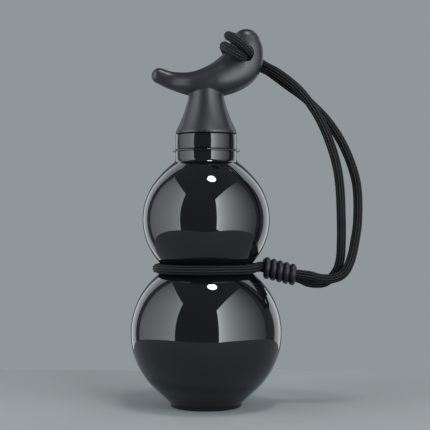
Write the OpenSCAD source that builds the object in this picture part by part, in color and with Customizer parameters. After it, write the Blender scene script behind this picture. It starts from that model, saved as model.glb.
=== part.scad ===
// Gourd-shaped drinking bottle with a screw lid and a carrying strap.
// The lid is a concave cone that carries a tilted crescent with a strap hole.
// Millimetres, +Z up, origin at the centre of the foot, front towards -Y.
//
// Sub-parts:
//   bottle_shell   two-lobed body, neck, support ring and the plain finish of the thread
//   inner_cap      glossy collar with the thread bore and the plug that carries the lid shell
//   seal_liner     soft disc between the plug and the top of the finish
//   lid_shell      matte cone and crescent, hollow below, with the strap hole
//   strap_hitch    the strap's upper bend, tied through the hole and round the crescent
//   strap_cord     the strap's two legs and its bend round the waist
//   slider_coil    wound slider that holds the two legs together beside the waist

/* [Part] */
// Which sub-part to draw

/* [Body] */
// Radius of the lower lobe
lower_radius = 45.8; // [45.4:0.1:46.2]
// Height of the centre of the lower lobe
lower_centre = 44.6; // [44.4:0.1:44.8]
// Radius of the upper lobe
upper_radius = 38.6; // [38.2:0.1:39.0]
// Height of the centre of the upper lobe
upper_centre = 113.3; // [113.0:0.1:113.5]
// Radius of the hollow bend between the two lobes
waist_bend = 3; // [2.6:0.1:3.4]
// Wall thickness of the body
wall = 1.8; // [1.4:0.1:2.2]

/* [Foot] */
// Angle below level at which the straight base leaves the lower lobe
base_angle = 47.74; // [47:0.1:49]
// Height of the straight foot
foot_height = 2.9; // [2.4:0.1:3.2]
// Radius of the foot just above its rounding
foot_radius = 21.7; // [21.4:0.1:22]
// Rounding at the bottom of the foot
foot_round = 0.8; // [0.5:0.1:1.2]
// Radius of the dished underside
dish_radius = 17; // [14:0.5:18]
// Depth of the dished underside
dish_depth = 1.5; // [0.8:0.1:1.8]
// Height of the inside floor
floor_height = 3.6; // [3.2:0.1:4.2]

/* [Neck] */
// Height above the upper lobe's centre at which the shoulder turns flatter
shoulder_rise = 23.7; // [23.2:0.1:24.2]
// Radius of the flatter shoulder curve
shoulder_curve = 60; // [57:0.5:63]
// Radius of the neck
neck_radius = 18.65; // [18.45:0.05:18.75]
// Radius of the hollow bend where the shoulder meets the neck
neck_bend = 3.5; // [3:0.1:4]
// How far the support ring stands out from the neck
ring_reach = 1.8; // [1.4:0.05:2.2]
// Thickness of the support ring, with a full round edge
ring_thickness = 1.2; // [1:0.1:1.2]
// Height of the straight neck, from the end of its bend to the top face of the support ring
neck_height = 5.26; // [5:0.02:5.6]
// Radius of the finish that carries the thread
finish_radius = 15; // [14.8:0.1:15.2]
// Wall thickness of the finish
finish_wall = 2; // [1.6:0.1:2.4]
// Height of the finish above the support ring
finish_height = 11.1; // [10.6:0.1:11.6]
// Height of the thread's ridge, which the collar has to clear
thread_depth = 1.3; // [1.1:0.1:1.5]

/* [Inner cap] */
// Wall thickness of the glossy collar round its thread bore
collar_wall = 2.08; // [1.9:0.02:2.3]
// Height of the glossy collar
collar_height = 8.85; // [8.5:0.05:9.2]
// Gap between the support ring and the collar
collar_gap = 0.25; // [0.2:0.05:0.4]
// Rounding of the collar's two outer edges
collar_chamfer = 0.3; // [0.2:0.05:0.4]
// How far the roof of the thread bore lies below the top of the collar
thread_roof_drop = 0.7; // [0.5:0.1:1]
// Running clearance between the thread's crest and the collar
thread_clearance = 0.3; // [0.2:0.05:0.3]
// Running clearance between the finish and the plug above the thread
finish_clearance = 0.3; // [0.2:0.05:0.3]
// Step inwards from the collar to the shadow gap
seat_step = 1.08; // [0.8:0.02:1.3]
// Height of the shadow gap between collar and lid shell
shadow_gap = 0.65; // [0.5:0.05:0.8]
// Thickness of the plug's top plate
plug_plate = 1.8; // [1.4:0.1:2]
// Thickness of the seal liner
liner_thickness = 1.2; // [1:0.05:1.2]
// Clearance round the liner
liner_clearance = 0.15; // [0.1:0.05:0.3]

/* [Lid] */
// Radius of the hollow curve of the lid's cone
flare_curve = 87; // [86.5:0.1:87.5]
// Height of that curve's centre above the lip
flare_rise = 40.5; // [39.5:0.1:41.5]
// How far the lip stands back from the collar
lip_step = 0.18; // [0.1:0.02:0.4]
// Height of the straight lip
lip_height = 1.35; // [1:0.05:1.8]
// Chamfer on the lower edge of the lip
lip_chamfer = 0.3; // [0.2:0.05:0.5]
// Wall thickness of the lid shell
lid_wall = 1.9; // [1.6:0.1:2]
// Clearance between the lid shell and the plug
plug_clearance = 0.1; // [0.05:0.05:0.2]
// Height of the roof of the hollow in the lid above the lip
hollow_height = 12.4; // [10:0.2:16]
// Height above the lip up to which the cone runs into the crescent
cone_height = 29.4; // [28:0.2:30]
// Radius of the strap hole
hole_radius = 4.2; // [4.1:0.05:4.4]
// Distance of the strap hole from the lid's axis
hole_side = 24.4; // [24.2:0.1:24.6]
// Height of the strap hole above the lip
hole_rise = 47.2; // [47:0.1:47.4]
// Rounding of the strap hole's two edges
hole_round = 1.4; // [1:0.1:1.6]

/* [Strap] */
// Diameter of the strap's cord
cord = 5.6; // [5.4:0.1:5.6]
// Gap between the cord and the bottle's waist
waist_gap = 0.9; // [0.7:0.1:1.2]
// Gap between the two legs where they lie side by side in the slider
pair_gap = 0.2; // [0.1:0.05:0.3]

/* [Slider] */
// Thickness of the slider's wound tube
coil_tube = 3.2; // [3:0.1:3.3]
// Distance between two turns of the slider
coil_pitch = 4; // [3.9:0.05:4.1]
// Clearance between the legs and the slider's tube
coil_clearance = 0.25; // [0.2:0.05:0.4]
// Slope of the slider, downwards to the right
coil_slope = 14.3; // [14:0.1:14.6]
// Roll of the slider about its own length
coil_roll = 10; // [8:0.5:12]
// Distance from the strap's loop to the middle of the slider
coil_reach = 14.45; // [14.2:0.05:14.8]
// How far the middle of the slider lies below the waist
coil_drop = 1.9; // [1.7:0.1:2.1]

/* [Hidden] */
$fn = 96;
tiny = 0.01;
ease = 0.004;
turns = 5;

// Middle of the hollow waist bend, where circles round both lobes meet
waist_far_low = lower_radius + waist_bend;
waist_far_high = upper_radius + waist_bend;
lobe_gap = upper_centre - lower_centre;
waist_up = (waist_far_low * waist_far_low - waist_far_high * waist_far_high
            + lobe_gap * lobe_gap) / (2 * lobe_gap);
waist_height = lower_centre + waist_up;
waist_side = sqrt(waist_far_low * waist_far_low - waist_up * waist_up);
waist_radius = waist_side - waist_bend;
loop_radius = waist_radius + cord / 2 + waist_gap;

// Middle of the flatter shoulder curve, which carries on smoothly from the upper lobe
shoulder_sine = shoulder_rise / upper_radius;
shoulder_cosine = sqrt(1 - shoulder_sine * shoulder_sine);
shoulder_side = -(shoulder_curve - upper_radius) * shoulder_cosine;
shoulder_centre = upper_centre - (shoulder_curve - upper_radius) * shoulder_sine;

// Middle of the hollow bend under the neck
neck_side = neck_radius + neck_bend;
neck_reach = shoulder_curve + neck_bend;
neck_across = neck_side - shoulder_side;
neck_bend_height = shoulder_centre + sqrt(neck_reach * neck_reach - neck_across * neck_across);

// Heights stack up from the neck: ring, collar, shadow gap, lip, and the lid above the lip
ring_top = neck_bend_height + neck_height;
ring_radius = neck_radius + ring_reach;
finish_top = ring_top + finish_height;
collar_bottom = ring_top + collar_gap;
collar_top = collar_bottom + collar_height;
thread_roof = collar_top - thread_roof_drop;
seat_height = collar_top + shadow_gap;
lip_top = seat_height + lip_height;
lid_roof = lip_top + hollow_height;
cone_top = lip_top + cone_height;
hole_height = lip_top + hole_rise;

// Radii stack up from the finish: mouth, thread, collar, seat and lip
mouth_radius = finish_radius - finish_wall;
bore_radius = finish_radius + thread_depth + thread_clearance;
plug_bore = finish_radius + finish_clearance;
collar_radius = bore_radius + collar_wall;
seat_radius = collar_radius - seat_step;
lip_radius = collar_radius - lip_step;

// Centre of the hollow curve that passes through the top of the lip
flare_height = lip_top + flare_rise;
flare_centre = lip_radius + sqrt(flare_curve * flare_curve - flare_rise * flare_rise);

// Radius of the lid's hollow curve at height z, or of the hollow inside it a wall further in
function flare_radius(z, inwards) = flare_centre - sqrt(pow(flare_curve + inwards, 2)
                                                        - pow(flare_height - z, 2));

// The piece of a band from height a to height b, from the axis out to radius r
module band(r, a, b) {
    polygon([[0, a], [r, a], [r, b], [0, b]]);
}

// A lobe between two heights, cut from a circle whose centre may lie beyond the axis
module lobe(r, centre, side, a, b) {
    intersection() {
        translate([side, centre]) circle(r, $fn = 180);
        band(r + 1, a, b);
    }
}

// A hollow bend between two heights, left when a circle is taken from a band
module bend(r, side, centre, a, b) {
    difference() {
        band(side, a, b);
        translate([side, centre]) circle(r);
    }
}

// Half outline of the body from its base to its neck, moved inwards by t.
// Where two curves touch, one is moved in by the hair's breadth ease and the other runs on past
// the joint, so that the two cross cleanly instead of grazing.
module body_outline(t, base, top) {
    low = lower_radius - t;
    high = upper_radius - t;
    tangent_side = low * cos(base_angle);
    tangent_height = lower_centre - low * sin(base_angle);
    base_side = tangent_side - (tangent_height - base) * tan(base_angle);
    waist_low = lower_centre + waist_up * low / waist_far_low;
    waist_high = upper_centre - (lobe_gap - waist_up) * high / waist_far_high;
    shoulder_low = upper_centre + high * shoulder_sine;
    neck_low = shoulder_centre
               + (neck_bend_height - shoulder_centre) * (shoulder_curve - t) / neck_reach;
    polygon([[0, base], [base_side - ease, base], [tangent_side - ease, tangent_height],
             [0, tangent_height]]);
    lobe(low, lower_centre, 0, tangent_height - 1.5, waist_low + 0.5);
    bend(waist_bend + t, waist_side - ease, waist_height, waist_low, waist_high);
    lobe(high, upper_centre, 0, waist_high - 0.5, shoulder_low + 3);
    lobe(shoulder_curve - t, shoulder_centre, shoulder_side - ease, shoulder_low, neck_low + 0.5);
    bend(neck_bend + t, neck_side - ease, neck_bend_height, neck_low, neck_bend_height);
    band(neck_radius - t, neck_bend_height - 1, top);
}

// Foot: slightly tapered, rounded at the bottom
module foot_outline() {
    top_side = lower_radius * cos(base_angle) - ease
               - (lower_centre - lower_radius * sin(base_angle) - foot_height) * tan(base_angle);
    polygon([[0, foot_round], [foot_radius, foot_round], [top_side, foot_height],
             [0, foot_height]]);
    band(foot_radius - foot_round, 0, foot_round);
    intersection() {
        translate([foot_radius - foot_round, foot_round]) circle(foot_round, $fn = 48);
        translate([foot_radius - foot_round, 0]) square([foot_round, foot_round]);
    }
}

// Support ring with a full round edge
module ring_outline() {
    edge = ring_radius - ring_thickness / 2;
    band(edge, ring_top - ring_thickness, ring_top);
    intersection() {
        translate([edge, ring_top - ring_thickness / 2]) circle(ring_thickness / 2, $fn = 48);
        translate([edge, ring_top - ring_thickness]) square(ring_thickness);
    }
}

module bottle_shell() {
    ring_bottom = ring_top - ring_thickness;
    neck_inside = neck_radius - wall;
    color([0.02, 0.02, 0.02]) rotate_extrude($fn = 120) difference() {
        union() {
            foot_outline();
            body_outline(0, foot_height, ring_bottom);
            ring_outline();
            band(finish_radius, ring_top, finish_top);
        }
        body_outline(wall, floor_height, neck_bend_height + tiny);
        polygon([[0, neck_bend_height + tiny], [neck_inside, neck_bend_height + tiny],
                 [mouth_radius, ring_bottom], [0, ring_bottom]]);
        band(mouth_radius, ring_bottom - tiny, finish_top + 1);
        polygon([[0, -1], [dish_radius, -1], [dish_radius, 0],
                 [dish_radius - 2 * dish_depth, dish_depth], [0, dish_depth]]);
    }
}

module inner_cap() {
    plug_ceiling = finish_top + liner_thickness;
    plug_top = plug_ceiling + plug_plate;
    plug_radius = flare_radius(lip_top, lid_wall) - plug_clearance;
    plug_top_radius = flare_radius(plug_top, lid_wall) - 2 * plug_clearance;
    edge = collar_radius - collar_chamfer;
    color([0.03, 0.03, 0.03]) rotate_extrude($fn = 120) difference() {
        polygon([[0, collar_bottom], [edge, collar_bottom],
                 [collar_radius, collar_bottom + collar_chamfer],
                 [collar_radius, collar_top - collar_chamfer], [edge, collar_top],
                 [seat_radius, collar_top], [seat_radius, seat_height],
                 [plug_radius, seat_height], [plug_radius, lip_top],
                 [plug_top_radius, plug_top], [0, plug_top]]);
        band(bore_radius, collar_bottom - 1, thread_roof);
        band(plug_bore, collar_bottom, plug_ceiling);
    }
}

module seal_liner() {
    color([0.75, 0.75, 0.72]) rotate_extrude($fn = 120)
        band(plug_bore - liner_clearance, finish_top, finish_top + liner_thickness);
}

// Crescent: stations along its middle line as side, height above the lip, half height and
// half depth. The strap hole goes through it at station hole_station.
crescent = [
    [-28.6, 34, 4.7, 4.6],
    [-19.8, 30.8, 5.5, 5.6],
    [-6.3, 29.1, 7.7, 8.2],
    [8.4, 32.2, 10.6, 9.8],
    [20, 39.5, 12.4, 9],
    [23.5, 47.6, 11.1, 8.4],
    [24.3, 53.8, 8.6, 7.4]
];
hole_station = 5;
crescent_steps = 5;
crescent_sides = 32;
end_rings = 5;

// A smooth curve through points p: value at share t of piece i
function before(p, i) = i > 0 ? p[i - 1] : 2 * p[0] - p[1];
function after(p, i) = i < len(p) - 2 ? p[i + 2] : 2 * p[len(p) - 1] - p[len(p) - 2];
function smooth(p, i, t) = 0.5 * (2 * p[i] + (p[i + 1] - before(p, i)) * t
    + (2 * before(p, i) - 5 * p[i] + 4 * p[i + 1] - after(p, i)) * t * t
    + (3 * p[i] - before(p, i) - 3 * p[i + 1] + after(p, i)) * t * t * t);
function smooth_slope(p, i, t) = 0.5 * ((p[i + 1] - before(p, i))
    + 2 * (2 * before(p, i) - 5 * p[i] + 4 * p[i + 1] - after(p, i)) * t
    + 3 * (3 * p[i] - before(p, i) - 3 * p[i + 1] + after(p, i)) * t * t);

// One ring of the crescent: s is how far the ring leans towards the next one
function crescent_ring(q, d, s) =
    let (length = norm([d[0], d[1]]), tx = d[0] / length, tz = d[1] / length,
         c = sqrt(max(0, 1 - s * s)))
    [for (k = [0 : crescent_sides - 1])
        let (a = 360 * k / crescent_sides)
        [q[0] + q[2] * (s * tx - c * cos(a) * tz), q[3] * c * sin(a),
         q[1] + q[2] * (s * tz + c * cos(a) * tx)]];
function lean(d) = -d[2] / norm([d[0], d[1]]);

module crescent_solid() {
    last = len(crescent) - 1;
    first_slope = smooth_slope(crescent, 0, 0);
    last_slope = smooth_slope(crescent, last - 1, 1);
    rings = concat(
        [for (j = [1 : end_rings])
            crescent_ring(crescent[0], first_slope,
                          -cos(90 * j / (end_rings + 1)) * (1 + lean(first_slope))
                          + lean(first_slope))],
        [for (i = [0 : last - 1]) for (j = [0 : crescent_steps - 1])
            let (t = j / crescent_steps)
            crescent_ring(smooth(crescent, i, t), smooth_slope(crescent, i, t),
                          lean(smooth_slope(crescent, i, t)))],
        [crescent_ring(crescent[last], last_slope, lean(last_slope))],
        [for (j = [1 : end_rings])
            crescent_ring(crescent[last], last_slope,
                          lean(last_slope) + (1 - lean(last_slope))
                          * sin(90 * j / (end_rings + 1)))]);
    first_end = crescent_ring(crescent[0], first_slope, -1)[0];
    last_end = crescent_ring(crescent[last], last_slope, 1)[0];
    translate([0, 0, lip_top]) closed_loft(rings, first_end, last_end);
}

// Closed skin over a list of equal rings with a point at each end
module closed_loft(rings, first_end, last_end) {
    m = len(rings[0]);
    n = len(rings);
    points = concat([for (r = rings) each r], [first_end, last_end]);
    faces = concat(
        [for (k = [0 : m - 1]) [n * m, (k + 1) % m, k]],
        [for (i = [0 : n - 2]) for (k = [0 : m - 1])
            [i * m + k, i * m + (k + 1) % m, (i + 1) * m + (k + 1) % m]],
        [for (i = [0 : n - 2]) for (k = [0 : m - 1])
            [i * m + k, (i + 1) * m + (k + 1) % m, (i + 1) * m + k]],
        [for (k = [0 : m - 1]) [n * m + 1, (n - 1) * m + k, (n - 1) * m + (k + 1) % m]]);
    polyhedron(points, faces, convexity = 6);
}

// Strap hole: a bore along Y that widens softly at both faces
module strap_hole() {
    face = crescent[hole_station][3];
    past = face + cord;
    flare = hole_radius + hole_round;
    translate([hole_side, 0, hole_height]) rotate([90, 0, 0]) rotate_extrude($fn = 48) {
        band(hole_radius, -past, past);
        for (side = [0, 1]) mirror([0, side]) {
            difference() {
                band(flare, face - hole_round, face);
                translate([flare, face - hole_round]) circle(hole_round, $fn = 48);
            }
            band(flare, face, past);
        }
    }
}

module lid_shell() {
    color([0.05, 0.05, 0.05]) difference() {
        union() {
            rotate_extrude($fn = 120) difference() {
                polygon([[0, seat_height], [lip_radius - lip_chamfer, seat_height],
                         [lip_radius, seat_height + lip_chamfer], [lip_radius, cone_top],
                         [0, cone_top]]);
                translate([flare_centre, flare_height]) circle(flare_curve, $fn = 360);
            }
            crescent_solid();
        }
        rotate_extrude($fn = 120) difference() {
            band(flare_radius(lip_top, lid_wall), seat_height - 1, lid_roof);
            translate([flare_centre, flare_height]) circle(flare_curve + lid_wall, $fn = 360);
        }
        strap_hole();
    }
}

// Middle of the slider and its directions: along it, up, and the long and short way across it
pair_offset = (cord + pair_gap) / 2;
coil_centre = [loop_radius + coil_reach, 0, waist_height - coil_drop];
along = [cos(coil_slope), 0, -sin(coil_slope)];
upward = [sin(coil_slope), 0, cos(coil_slope)];
depth = [0, 1, 0];
track_long = cos(coil_roll) * depth - sin(coil_roll) * upward;
track_short = cos(coil_roll) * upward + sin(coil_roll) * depth;

// The strap is one closed cord. Its route's points are joined by a smooth curve.
// Hitch part, from leg A round the crescent to leg B: side and height from the middle of the
// strap hole, with the depth between them, and the share of the cord's radius that is left.
// The cord is squeezed where two strands share the hole.
hitch_points = [
    [14, 12.9, -6.7, 1], [9.9, 15, -3.9, 1], [5.7, 14.4, -1.1, 1], [2.7, 10.5, 0.3, 0.86],
    [1.9, 5.2, 0.8, 0.64], [1.9, 0, 0.9, 0.64], [1.9, -5.2, 0.9, 0.64], [1.2, -10.3, 2.1, 0.86],
    [-3.2, -11.3, 5.1, 1], [-7.1, -9, 7.6, 1], [-10, -5.3, 9.8, 1], [-11, -0.4, 11.2, 1],
    [-9.5, 4.5, 11.6, 1], [-6.1, 8.3, 11, 1], [-1.5, 10.1, 9.3, 1], [3.2, 10.2, 7, 1],
    [7.2, 9.2, 3.9, 1], [8.4, 8.8, -1.1, 1], [6.7, 9.7, -5.9, 1], [2.7, 11.2, -8.7, 1],
    [-2.3, 12.1, -8.1, 1], [-6.8, 11.8, -5.4, 1], [-10.2, 10.3, -1.8, 1], [-12.6, 7.4, 1.7, 1],
    [-14.3, 3.2, 4.4, 1], [-14.5, -1.9, 4.8, 1], [-12.9, -6.6, 3.4, 1], [-10.3, -10.7, 1.3, 1],
    [-5.6, -13.2, -1.5, 1], [-0.9, -11.6, -2.8, 0.82], [-0.2, -6.4, -2.2, 0.64], [-1.2, -1.4, -1.5, 0.64],
    [-1.6, 3.7, -0.7, 0.64], [-2.1, 8.9, -0.2, 0.68], [-2.5, 14, -0.6, 1], [0.6, 18.1, -1.7, 1],
    [4.9, 20.3, -3.7, 1], [9.7, 20.8, -5.7, 1], [14.1, 19.2, -8, 1]
];
// Leg B, from the hitch down to the slider: side, depth and height
leg_b_points = [
    [43.6, 16.5, 201.7], [50.8, 13, 195.8], [58.1, 10.5, 190.2], [64.9, 8.5, 184], [74.1, 6.2, 174],
    [82.3, 5, 161.6], [88.7, 4.2, 146.9], [92.2, 3.6, 132.2], [92.4, 2.6, 112.7], [90.2, 1, 98.1],
    [87.6, -0.9, 88.3], [83.6, -2.7, 81.1], [77.7, -3.2, 77.8], [69.7, -3.6, 77.1], [63.1, -3.4, 78.5]
];
// Leg A, from the slider up to the hitch
leg_a_points = [
    [63.7, 4.2, 74.4], [72.6, 4.6, 74.8], [78.9, 3.7, 80.8], [81.5, 1.5, 88.3], [82, -1, 98.1],
    [81.9, -2.2, 112.7], [81.1, -2.4, 132], [79, -2.2, 146.6], [74.6, -1.5, 161.2], [69.4, 0, 173.5],
    [63.6, 1.6, 183.4], [57.6, 3.9, 191.5], [50.4, 7, 198.5], [43.3, 10.5, 204.1]
];

// A leg's point in the slider, at distance d along it, on the side -1 or 1. The legs part a
// little where they leave it.
legs_part = 1.05;
function in_slider(d, side) = coil_centre + d * along + side * pair_offset * track_long;
// A point beside the waist: angle, distance outside the loop and height above the waist
function at_waist(a, beyond, rise) = [(loop_radius + beyond) * cos(a),
                                      (loop_radius + beyond) * sin(a), waist_height + rise];
hitch_route = [for (q = hitch_points)
    [hole_side + q[0], q[1], hole_height + q[2], q[3] * cord / 2]];
strap_route = concat(
    leg_b_points,
    [in_slider(14, -legs_part), in_slider(7, -1), in_slider(0, -1), in_slider(-7, -1)],
    [at_waist(-5.6, 4.1, 1.3), at_waist(-11.7, 1.6, 1.1), at_waist(-21.9, 0.7, 0.3)],
    [at_waist(-34, 0, 0)],
    [for (a = [-50 : -20 : -310]) at_waist(a, 0, 0)],
    [at_waist(34, 0, 0)],
    [at_waist(21.9, 0.7, 0), at_waist(11.7, 1.6, 0.2), at_waist(5.6, 3.9, 0.3)],
    [in_slider(-7, 1), in_slider(0, 1), in_slider(7, 1), in_slider(14, legs_part)],
    leg_a_points);
route = concat(hitch_route, [for (q = strap_route) [q[0], q[1], q[2], cord / 2]]);
hitch_spacing = 2.6;
strap_spacing = 8;
cord_sides = 8;

// Closed smooth curve: value and slope at share t of piece i
function wrap(p, i) = p[(i + len(p)) % len(p)];
function curve(p, i, t) =
    let (a = wrap(p, i - 1), b = wrap(p, i), c = wrap(p, i + 1), d = wrap(p, i + 2))
    0.5 * (2 * b + (c - a) * t + (2 * a - 5 * b + 4 * c - d) * t * t
           + (3 * b - a - 3 * c + d) * t * t * t);
function curve_slope(p, i, t) =
    let (a = wrap(p, i - 1), b = wrap(p, i), c = wrap(p, i + 1), d = wrap(p, i + 2))
    0.5 * ((c - a) + 2 * (2 * a - 5 * b + 4 * c - d) * t + 3 * (3 * b - a - 3 * c + d) * t * t);
function place(q) = [q[0], q[1], q[2]];
function unit(v) = v / norm(v);

// Shares at which rings stand between route points first and last
function ring_shares(first, last, spacing) = concat(
    [for (i = [first : last - 1])
        let (steps = max(1, round(norm(place(wrap(route, i + 1)) - place(wrap(route, i))) / spacing)))
        for (j = [0 : steps - 1]) [i, j / steps]],
    [[last - 1, 1]]);

// Directions square to the cord, each turned as little as possible from the one before
function square_to(slopes) =
    let (start = unit(cross(slopes[0], [0.3, 0.2, 1])))
    [for (i = 0, n = start;
          i < len(slopes);
          i = i + 1,
          n = i < len(slopes) ? unit(n - slopes[i] * (n * slopes[i]) / (slopes[i] * slopes[i])) : n)
        n];

// Round tube along centres, with its own radius at each one
module tube(centres, slopes, radii, sides) {
    across = square_to(slopes);
    last = len(centres) - 1;
    rings = [for (i = [0 : last])
        let (n = across[i], b = unit(cross(n, slopes[i])))
        [for (k = [0 : sides - 1])
            centres[i] + radii[i] * (cos(360 * k / sides) * n + sin(360 * k / sides) * b)]];
    closed_loft(rings, centres[0], centres[last]);
}

module cord_piece(first, last, spacing) {
    shares = ring_shares(first, last, spacing);
    spots = [for (s = shares) curve(route, s[0], s[1])];
    slopes = [for (s = shares) place(curve_slope(route, s[0], s[1]))];
    tube([for (q = spots) place(q)], slopes, [for (q = spots) q[3]], cord_sides);
}

module strap_hitch() {
    color([0.04, 0.04, 0.04]) cord_piece(0, len(hitch_route) - 1, hitch_spacing);
}

module strap_cord() {
    color([0.04, 0.04, 0.04]) cord_piece(len(hitch_route) - 1, len(route), strap_spacing);
}

// Slider: a tube wound round both legs on a long round track
coil_sides = 6;
coil_rings = 24;
coil_radius = cord / 2 + coil_clearance + coil_tube / 2;
coil_lead = 0.2;
track_arc = PI * coil_radius;
track_length = 2 * track_arc + 4 * pair_offset;

// Point on the long round track at share u of a turn, from its far end upwards
function on_track(u) =
    let (d = (u - floor(u)) * track_length, arc = track_arc / 2, flat = 2 * pair_offset)
    d < arc ? let (a = 90 * d / arc)
        [pair_offset + coil_radius * cos(a), coil_radius * sin(a)]
    : d < arc + flat ? [pair_offset - (d - arc), coil_radius]
    : d < 3 * arc + flat ? let (a = 90 + 90 * (d - arc - flat) / arc)
        [-pair_offset + coil_radius * cos(a), coil_radius * sin(a)]
    : d < 3 * arc + 2 * flat ? [-pair_offset + (d - 3 * arc - flat), -coil_radius]
    : let (a = 270 + 90 * (d - 3 * arc - 2 * flat) / arc)
        [pair_offset + coil_radius * cos(a), coil_radius * sin(a)];
function coil_spot(u) = let (q = on_track(u))
    coil_centre + along * (u - turns / 2) * coil_pitch + q[0] * track_long + q[1] * track_short;
coil_shares = [for (k = [0 : round((turns - 2 * coil_lead) * coil_rings)])
    coil_lead + k / coil_rings];
coil_spots = [for (u = coil_shares) coil_spot(u)];
coil_gap = min([for (i = [0 : len(coil_spots) - 1]) for (j = [i + 12 : 1 : len(coil_spots) - 1])
    norm(coil_spots[i] - coil_spots[j])]) - coil_tube;
echo(str("least gap between two turns of the slider: ", coil_gap, " mm"));

module slider_coil() {
    slopes = [for (u = coil_shares) coil_spot(u + 0.01) - coil_spot(u - 0.01)];
    color([0.06, 0.06, 0.06])
        tube(coil_spots, slopes, [for (u = coil_shares) coil_tube / 2], coil_sides);
}

bottle_shell();
inner_cap();
seal_liner();
lid_shell();
strap_hitch();
strap_cord();
slider_coil();
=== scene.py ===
# %% [markdown]
# # A gourd-shaped drinking bottle
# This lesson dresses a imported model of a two-lobed bottle with a screw lid, a crescent on top and
# a braided strap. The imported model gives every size, so the first step loads it as a fixed frame.
# Everything here is in metres, with Z up and the bottle's front towards -Y.

# %% Load the frame
import math

import bpy
import numpy as np
from mathutils import Matrix


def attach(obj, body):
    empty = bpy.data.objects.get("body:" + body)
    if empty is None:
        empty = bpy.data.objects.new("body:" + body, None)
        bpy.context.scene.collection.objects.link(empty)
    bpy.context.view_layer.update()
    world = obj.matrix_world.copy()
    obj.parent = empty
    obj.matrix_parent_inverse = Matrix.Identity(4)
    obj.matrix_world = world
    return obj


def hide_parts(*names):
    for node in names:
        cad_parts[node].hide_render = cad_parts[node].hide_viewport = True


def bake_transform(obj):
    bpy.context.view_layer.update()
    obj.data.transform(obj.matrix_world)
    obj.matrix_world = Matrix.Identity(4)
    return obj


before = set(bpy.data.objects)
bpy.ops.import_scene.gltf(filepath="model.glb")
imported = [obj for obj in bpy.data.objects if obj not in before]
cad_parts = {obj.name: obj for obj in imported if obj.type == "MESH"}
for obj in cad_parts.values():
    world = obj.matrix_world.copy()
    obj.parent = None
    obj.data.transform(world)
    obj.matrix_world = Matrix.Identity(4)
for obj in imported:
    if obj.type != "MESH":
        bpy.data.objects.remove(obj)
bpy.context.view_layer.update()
MM = 0.001

# %% [markdown]
# ## The camera
# The photograph was taken level with the bottle's middle, from about 0.7 m. A level camera keeps
# uprights upright. The focal length comes from the picture: one metre at one metre's distance
# covers 1150 of its 430 pixels' unit, so the lens is 1150 / 430 of the sensor's width.

# %% Place the camera
CAMERA_SPOT = (5.35 * MM, -699.2 * MM, 116.0 * MM)
PIXELS_PER_UNIT = 1150.0
PICTURE_SIDE = 430.0

camera_data = bpy.data.cameras.new("camera")
camera_data.sensor_width = 36.0
camera_data.lens = 36.0 * PIXELS_PER_UNIT / PICTURE_SIDE
camera_data.clip_start = 0.01
camera = bpy.data.objects.new("camera", camera_data)
camera.location = CAMERA_SPOT
camera.rotation_euler = (math.radians(90), 0, 0)
bpy.context.scene.collection.objects.link(camera)
bpy.context.scene.camera = camera
print("camera lens in mm:", round(camera_data.lens, 2))

# %% [markdown]
# ## From arrays to a mesh
# Nearly every piece here is a grid of points: one index runs along the piece, the other goes
# round it. One helper joins such a grid with four-sided faces, closes it round, and caps its
# two ends with a point each. It also stores a UV map in metres, which the braid needs.

# %% Turn a grid into a piece
def skin(name, grid, first_end=None, last_end=None, ring=False, sharp=None, uv=None):
    """A closed skin over grid[i, k] = point k round ring i: face (i, k) joins rings i and i + 1
    between points k and k + 1, round and round. The ends are capped by fans to a point, or the
    last ring is joined to the first if ring is True. uv gives (along, round) in metres."""
    rings, sides = grid.shape[:2]
    points = grid.reshape(-1, 3)
    i, k = np.meshgrid(np.arange(rings if ring else rings - 1), np.arange(sides), indexing="ij")
    j, m = (i + 1) % rings, (k + 1) % sides
    faces = np.stack([i * sides + k, i * sides + m, j * sides + m, j * sides + k], -1).reshape(-1, 4)
    face_list = faces.tolist()
    if first_end is not None:
        start = len(points)
        points = np.vstack([points, first_end])
        k = np.arange(sides)
        face_list += np.stack([np.full(sides, start), (k + 1) % sides, k], -1).tolist()
    if last_end is not None:
        start = len(points)
        points = np.vstack([points, last_end])
        k = np.arange(sides) + (rings - 1) * sides
        face_list += np.stack([np.full(sides, start), k, (k - (rings - 1) * sides + 1) % sides
                               + (rings - 1) * sides], -1).tolist()
    mesh = bpy.data.meshes.new(name)
    mesh.from_pydata(points.tolist(), [], face_list)
    mesh.shade_smooth()
    if sharp is not None:
        mesh.set_sharp_from_angle(angle=math.radians(sharp))
    if uv is not None:
        along, around = uv
        layer = mesh.uv_layers.new(name="UVMap")
        ii, kk = np.meshgrid(np.arange(rings - 1), np.arange(sides), indexing="ij")
        corners = np.stack([
            np.stack([along[ii], kk * around / sides], -1),
            np.stack([along[ii], (kk + 1) * around / sides], -1),
            np.stack([along[ii + 1], (kk + 1) * around / sides], -1),
            np.stack([along[ii + 1], kk * around / sides], -1)], 2).reshape(-1)
        flat = np.zeros(len(mesh.loops) * 2)
        flat[:len(corners)] = corners
        layer.data.foreach_set("uv", flat)
    mesh.update()
    piece = bpy.data.objects.new(name, mesh)
    bpy.context.scene.collection.objects.link(piece)
    print(f"{name}: {len(mesh.vertices)} points, {len(mesh.polygons)} faces")
    return piece

# %% [markdown]
# ## The strap's route
# The strap is one closed cord. It is tied to the crescent with a loop hitch, comes down as two
# legs, passes through the slider and goes once round the waist. The model's source joins route
# points with a smooth curve, and the same points are repeated here in millimetres, so the braid
# lies where the model's cord lies. Hitch points are measured from the middle of the strap hole.
# Their fourth number is the share of the cord's radius that is left where two strands share the
# hole. The points at the waist and in the slider follow from a circle and a slope.

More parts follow.
